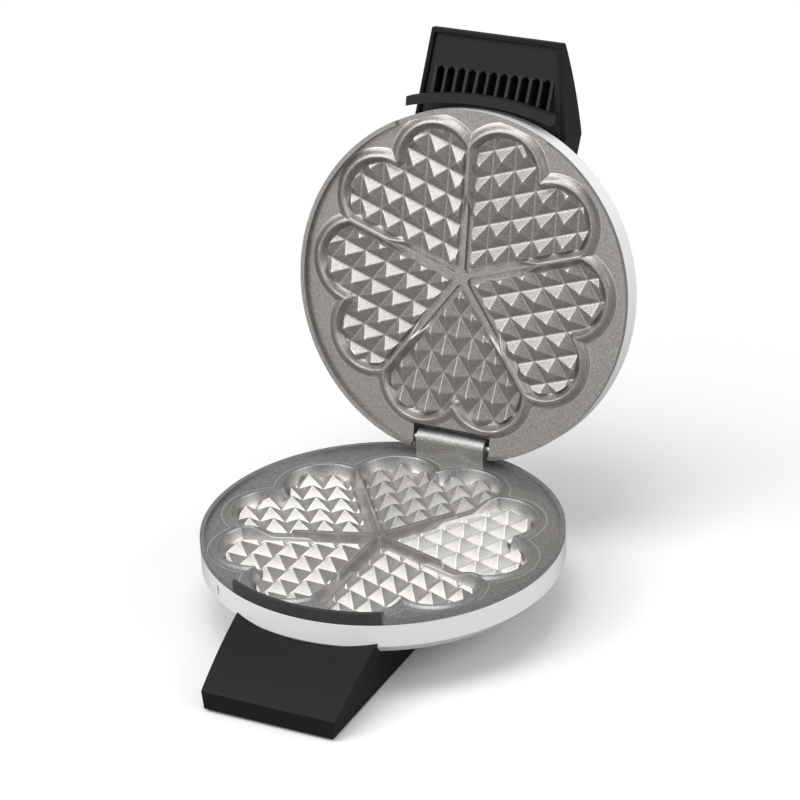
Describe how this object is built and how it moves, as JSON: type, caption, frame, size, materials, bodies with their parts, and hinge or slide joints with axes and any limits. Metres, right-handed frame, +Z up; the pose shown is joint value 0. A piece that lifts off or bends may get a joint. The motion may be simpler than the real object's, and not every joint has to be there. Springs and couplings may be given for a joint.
{
  "type": "heart waffle maker",
  "caption": "Round countertop waffle maker, lid open: heart-shaped waffle pockets with pyramid grids, white cases, black stand and slotted lid handle with browning knob.",
  "frame": {"origin": "on the surface that the feet stand on, under the middle of the open machine's box; the centre of the round lower plate is 15.7 mm in front of it", "axes": "+Z up, +Y to the hinge at the back, X along the hinge; the handle and the ramp of the stand face -Y"},
  "size_m": [0.176, 0.2733, 0.2442],
  "materials": {
    "plate_coating_base": "satin non-stick",
    "white_case": "gloss",
    "black_plastic": "fine matte grain",
    "foot_rubber": "matte",
    "black_inner_plastic": "matte",
    "screw_steel": "zinc plated",
    "element_steel": "heat-tinted",
    "ceramic": "unglazed",
    "sheet_metal": "bright rolled",
    "fuse_body": "satin",
    "clip_steel": "sheet",
    "plate_coating_lid": "satin non-stick",
    "pin_steel": "ground",
    "thermostat_body": "plated",
    "lens_red": "clear tinted",
    "lens_green": "clear tinted",
    "lamp_body": "gloss"
  },
  "bodies": {
    "base": {"base_plate": "plate_coating_base", "base_case": "white_case", "base_stand": "black_plastic", "rubber_feet": "foot_rubber", "cord_gland": "black_inner_plastic", "base_screws": "screw_steel", "base_heating_element": "element_steel", "base_terminal_block": "ceramic", "base_heat_reflector": "sheet_metal", "thermal_fuse": "fuse_body", "fuse_clip": "clip_steel"},
    "lid": {"lid_plate": "plate_coating_lid", "hinge_pin": "pin_steel", "lid_case": "white_case", "lid_heating_element": "element_steel", "lid_terminal_block": "ceramic", "lid_heat_reflector": "sheet_metal", "lid_screws": "screw_steel", "handle_cover": "black_plastic", "handle_tray": "black_plastic", "handle_guard": "black_plastic", "handle_screws": "screw_steel", "thermostat": "thermostat_body", "power_lens": "lens_red", "ready_lens": "lens_green", "signal_lamps": "lamp_body"},
    "knob": {"knob_shaft": "pin_steel", "browning_knob": "black_inner_plastic"}
  },
  "joints": [
    {"name": "lid_hinge", "type": "hinge", "parent": "base", "child": "lid", "pos_m": [0, 0.0649, 0.0492], "axis": [1, 0, 0], "range_deg": [0, 102.3]},
    {"name": "knob_turn", "type": "hinge", "parent": "lid", "child": "knob", "pos_m": [0, 0.12841, 0.15367], "axis": [0, 0.977, -0.213], "range_deg": [0, 270]}
  ]
}
